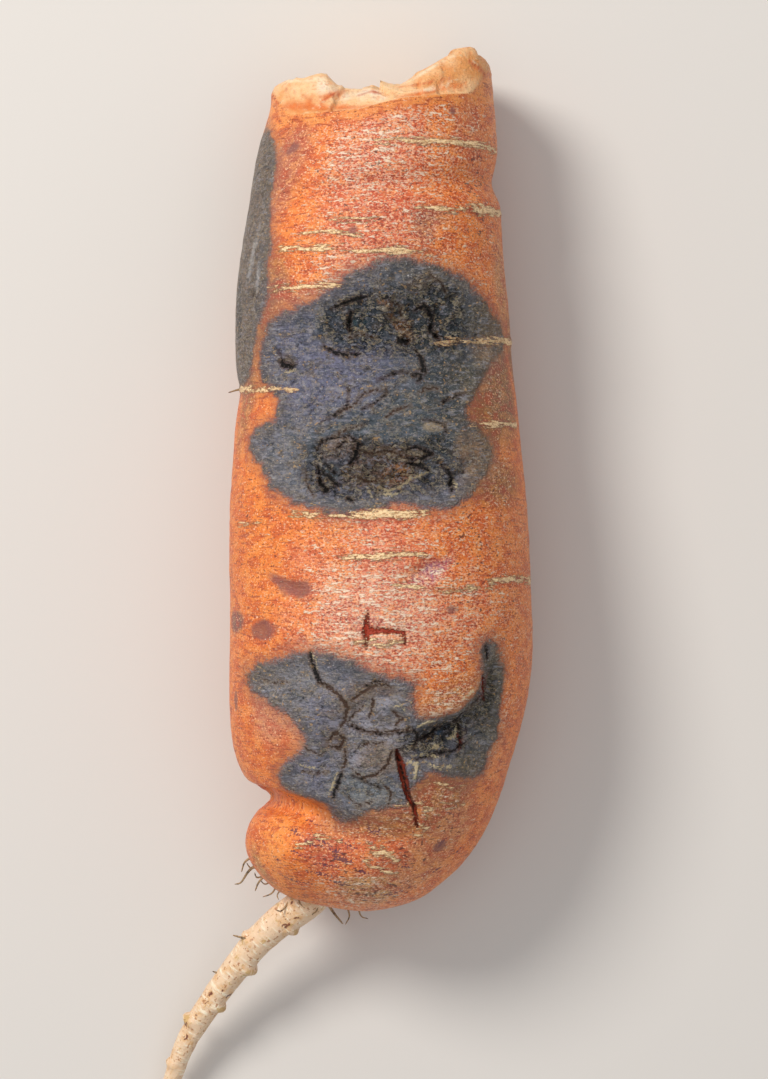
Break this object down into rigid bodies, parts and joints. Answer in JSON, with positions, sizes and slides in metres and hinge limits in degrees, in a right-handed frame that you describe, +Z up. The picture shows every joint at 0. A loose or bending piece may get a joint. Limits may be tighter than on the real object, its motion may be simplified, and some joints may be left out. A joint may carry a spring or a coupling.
{
  "type": "carrot",
  "caption": "Blunt carrot root lying on its side, its top snapped off, with sunken black rot on the skin, a side lobe and a thin pale tap root.",
  "frame": {"origin": "on the resting surface, under the middle of the root's bounding box", "axes": "+Z up from the resting surface, +Y along the root towards its broken top, +X across it, to the right when it is seen from above with the broken top away from the viewer"},
  "size_m": [0.0578, 0.1722, 0.0414],
  "materials": {
    "carrot_skin": "satin"
  },
  "bodies": {
    "root": {"carrot": "carrot_skin"}
  },
  "joints": []
}
